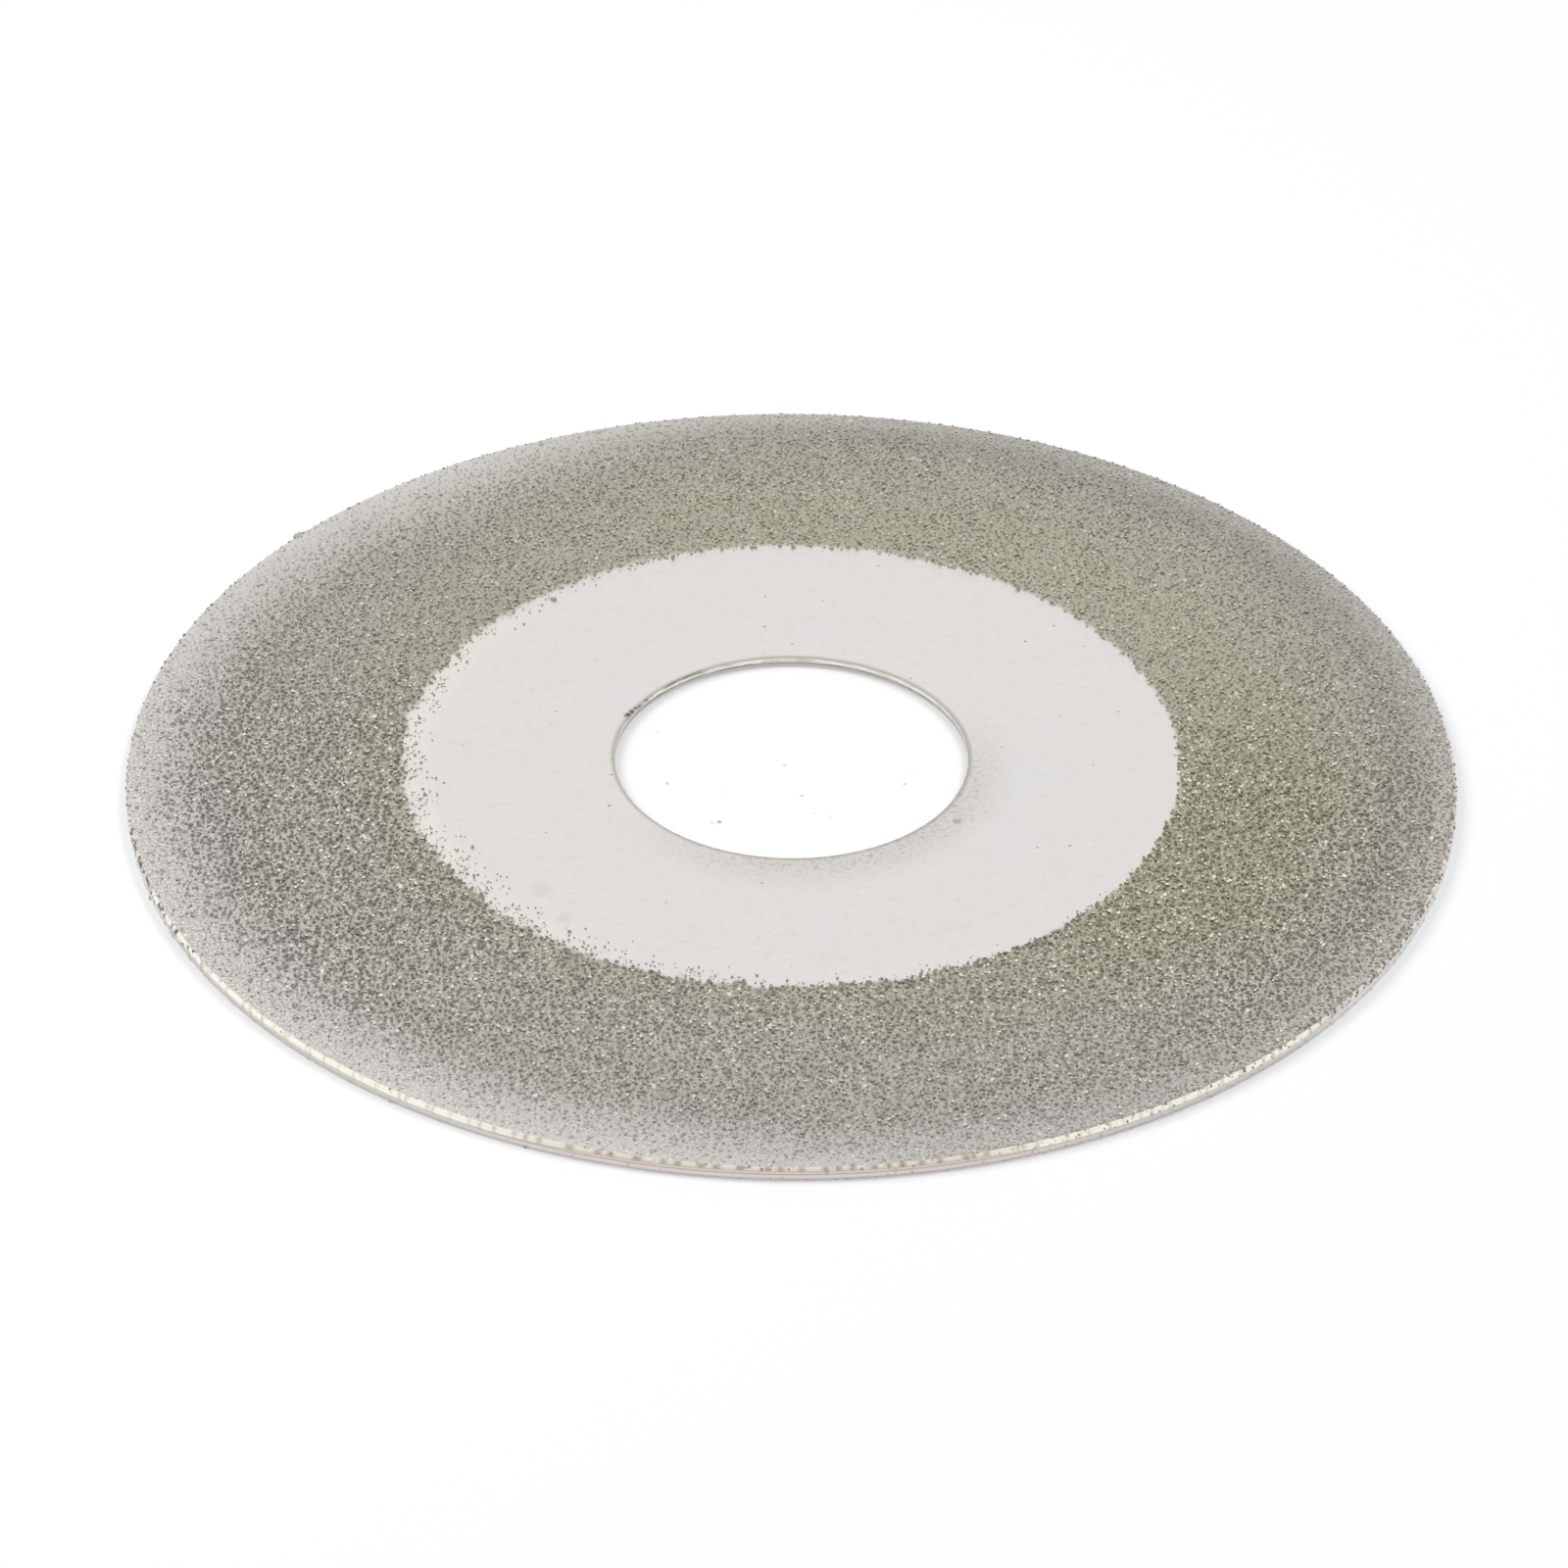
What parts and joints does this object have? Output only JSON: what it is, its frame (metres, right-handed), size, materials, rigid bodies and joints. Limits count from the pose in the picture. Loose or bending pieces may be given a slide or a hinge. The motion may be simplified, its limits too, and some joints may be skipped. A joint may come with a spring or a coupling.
{
  "type": "diamond grinding wheel",
  "caption": "Thin flat grinding disc with a plain round bore, a bare steel centre and a wide band of nickel-bonded diamond grit on both faces and round the rim.",
  "frame": {"origin": "on the axis of the bore, in the plane of the lowest crystal tips, which the wheel lies on", "axes": "+Z along the bore, out of the upper face; +X and +Y are any two directions across the wheel"},
  "size_m": [0.075, 0.075, 0.0009],
  "materials": {
    "steel": "matt nickel-flashed steel, faintly blotched",
    "nickel": "satin electroplated nickel",
    "diamond": "glinting grey-green crystals half sunk in nickel",
    "rim_diamond": "glinting cream crystals on the rim"
  },
  "bodies": {
    "root": {"steel_core": "steel", "upper_bond": "nickel", "lower_bond": "nickel", "upper_grit": "diamond", "lower_grit": "diamond", "upper_rim_grains": "rim_diamond", "lower_rim_grains": "rim_diamond", "upper_stray_grains": "diamond", "lower_stray_grains": "diamond"}
  },
  "joints": []
}
